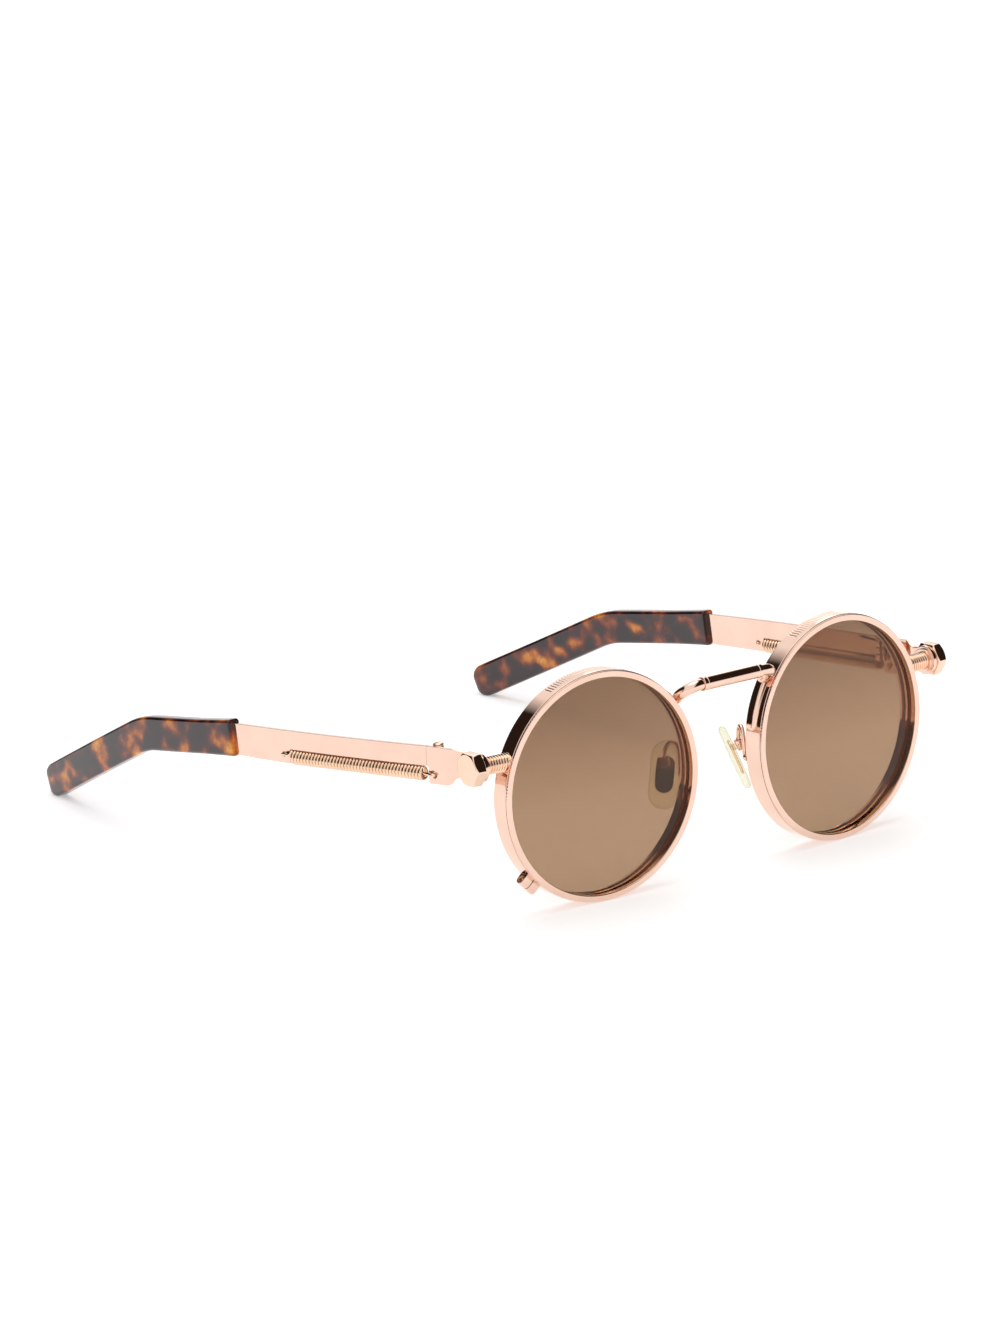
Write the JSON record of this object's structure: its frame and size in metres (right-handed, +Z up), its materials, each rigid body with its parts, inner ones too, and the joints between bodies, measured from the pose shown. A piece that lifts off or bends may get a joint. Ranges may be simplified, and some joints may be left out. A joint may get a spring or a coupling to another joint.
{
  "type": "clip on sunglasses",
  "caption": "Round metal spectacle frame with tinted clip rings that lift off, hex bolts at the corners, springs in the folding temples, acetate tips and rocking nose pads.",
  "frame": {"origin": "under the middle of the bounding box, on the surface that the rims and temple tips stand on", "axes": "+X to the wearer's left, +Y from the front to the temple tips, +Z up; the face of the lenses looks to -Y"},
  "size_m": [0.1398, 0.1668, 0.05],
  "materials": {
    "rose_gold": "polished rose gold plating",
    "pale_gold": "polished yellow gold plating",
    "bolt_gold": "polished rose gold plating",
    "tinted_lens": "brown tint, darker at the top",
    "clear_lens": "clear",
    "tortoise": "polished dark tortoiseshell acetate",
    "silicone": "clear silicone, faintly yellow"
  },
  "bodies": {
    "front": {"rim_right": "rose_gold", "rim_left": "rose_gold", "rim_lock_right": "rose_gold", "rim_lock_left": "rose_gold", "rim_lock_screw_right": "pale_gold", "rim_lock_screw_left": "pale_gold", "clear_lens_right": "clear_lens", "clear_lens_left": "clear_lens", "bridge_sleeve": "rose_gold", "bridge_rod_right": "rose_gold", "bridge_rod_left": "rose_gold", "side_bolt_right": "bolt_gold", "side_bolt_left": "bolt_gold", "bolt_collar_right": "rose_gold", "bolt_collar_left": "rose_gold", "end_piece_right": "rose_gold", "end_piece_left": "rose_gold", "front_hinge_right": "rose_gold", "front_hinge_left": "rose_gold", "hinge_screw_right": "pale_gold", "hinge_screw_left": "pale_gold", "pad_arm_right": "rose_gold", "pad_arm_left": "rose_gold", "pad_screw_right": "pale_gold", "pad_screw_left": "pale_gold"},
    "clip_right": {"clip_ring_right": "rose_gold", "tinted_lens_right": "tinted_lens"},
    "temple_arm_right": {"temple_right": "rose_gold", "rear_hinge_right": "rose_gold", "temple_tip_right": "tortoise", "temple_spring_right": "pale_gold"},
    "pad_right": {"nose_pad_right": "silicone", "pad_insert_right": "pale_gold"},
    "clip_left": {"clip_ring_left": "rose_gold", "tinted_lens_left": "tinted_lens"},
    "temple_arm_left": {"temple_left": "rose_gold", "rear_hinge_left": "rose_gold", "temple_tip_left": "tortoise", "temple_spring_left": "pale_gold"},
    "pad_left": {"nose_pad_left": "silicone", "pad_insert_left": "pale_gold"}
  },
  "joints": [
    {"name": "temple_fold_right", "type": "hinge", "parent": "front", "child": "temple_arm_right", "pos_m": [-0.063, -0.06039, 0.034], "axis": [0, 0, -1], "range_deg": [0, 90], "deforming": ["temple_spring_right"]},
    {"name": "clip_lift_right", "type": "slide", "parent": "front", "child": "clip_right", "axis": [-0.0724, -0.9974, 0], "range_m": [0, 0.025]},
    {"name": "pad_rock_right", "type": "hinge", "parent": "front", "child": "pad_right", "pos_m": [-0.01084, -0.0716, 0.02433], "axis": [-0.5446, 0.8387, 0], "range_deg": [-8, 8]},
    {"name": "temple_fold_left", "type": "hinge", "parent": "front", "child": "temple_arm_left", "pos_m": [0.063, -0.06039, 0.034], "axis": [0, 0, 1], "range_deg": [0, 84], "deforming": ["temple_spring_left"]},
    {"name": "clip_lift_left", "type": "slide", "parent": "front", "child": "clip_left", "axis": [0.0724, -0.9974, 0], "range_m": [0, 0.025]},
    {"name": "pad_rock_left", "type": "hinge", "parent": "front", "child": "pad_left", "pos_m": [0.01084, -0.0716, 0.02433], "axis": [0.5446, 0.8387, 0], "range_deg": [-8, 8]}
  ]
}
